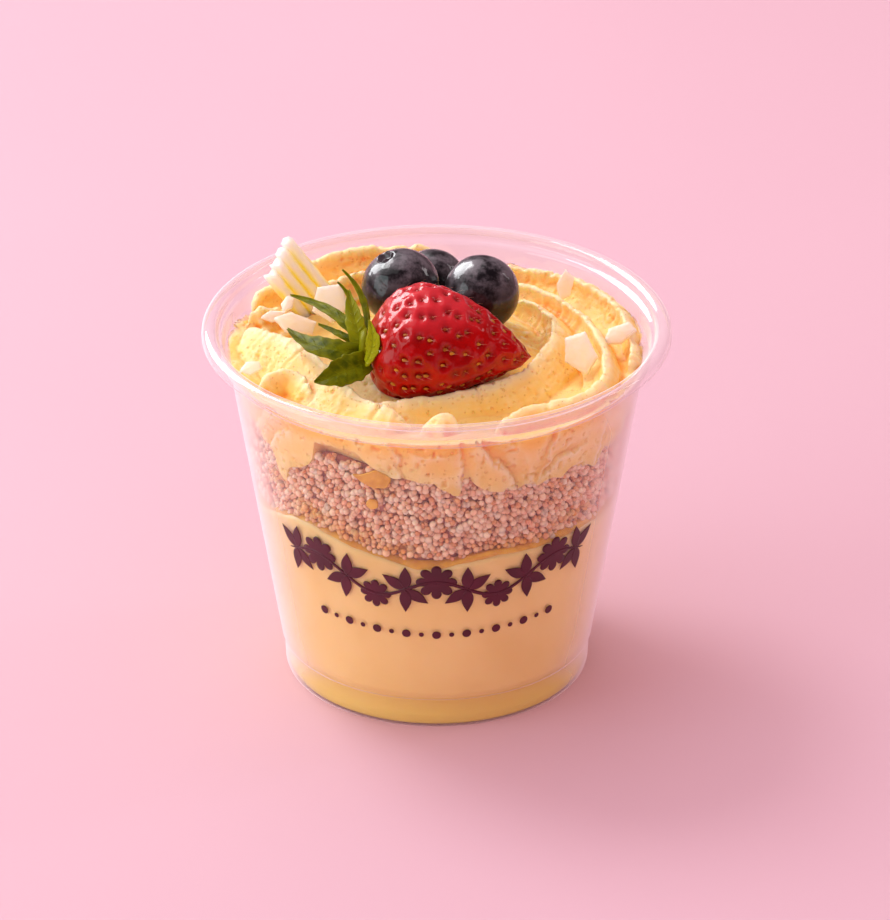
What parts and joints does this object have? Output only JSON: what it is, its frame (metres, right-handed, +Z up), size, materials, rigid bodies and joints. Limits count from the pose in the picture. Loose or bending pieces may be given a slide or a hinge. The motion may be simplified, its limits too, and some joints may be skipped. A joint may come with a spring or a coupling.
{
  "type": "cheesecake sundae",
  "caption": "Layered cheesecake sundae in a clear tapered plastic cup: pale mousse, moist crumb and a mango cream swirl topped with fruit and white chocolate.",
  "frame": {"origin": "centre of the cup's foot, on the surface that it stands on", "axes": "+Z up along the cup's axis; -Y faces the viewer, with the strawberry in front of the berries; +X to the viewer's right"},
  "size_m": [0.095, 0.095, 0.0898],
  "materials": {
    "clear_plastic": "clear glossy thermoformed plastic",
    "cheesecake_mousse": "smooth pale cheesecake mousse, satin",
    "mango_sauce": "glossy mango sauce",
    "sponge_crumb": "moist translucent sponge crumb",
    "mango_cream": "piped mango cream with fine air bubbles, satin",
    "strawberry_red": "glazed strawberry skin",
    "leaf_green": "fresh green leaf",
    "berry_blue": "glazed dark blue berry skin with a pale bloom",
    "white_chocolate": "white chocolate, satin"
  },
  "bodies": {
    "root": {"cup": "clear_plastic", "cheesecake_mousse": "cheesecake_mousse", "mango_sauce": "mango_sauce", "sponge_crumb": "sponge_crumb", "cream_swirl": "mango_cream", "strawberry": "strawberry_red", "strawberry_calyx": "leaf_green", "blueberry_1": "berry_blue", "blueberry_2": "berry_blue", "blueberry_3": "berry_blue", "chocolate_fan": "white_chocolate", "chocolate_shard_1": "white_chocolate", "chocolate_shard_2": "white_chocolate", "chocolate_shard_3": "white_chocolate", "chocolate_shard_4": "white_chocolate", "chocolate_shard_5": "white_chocolate"}
  },
  "joints": []
}
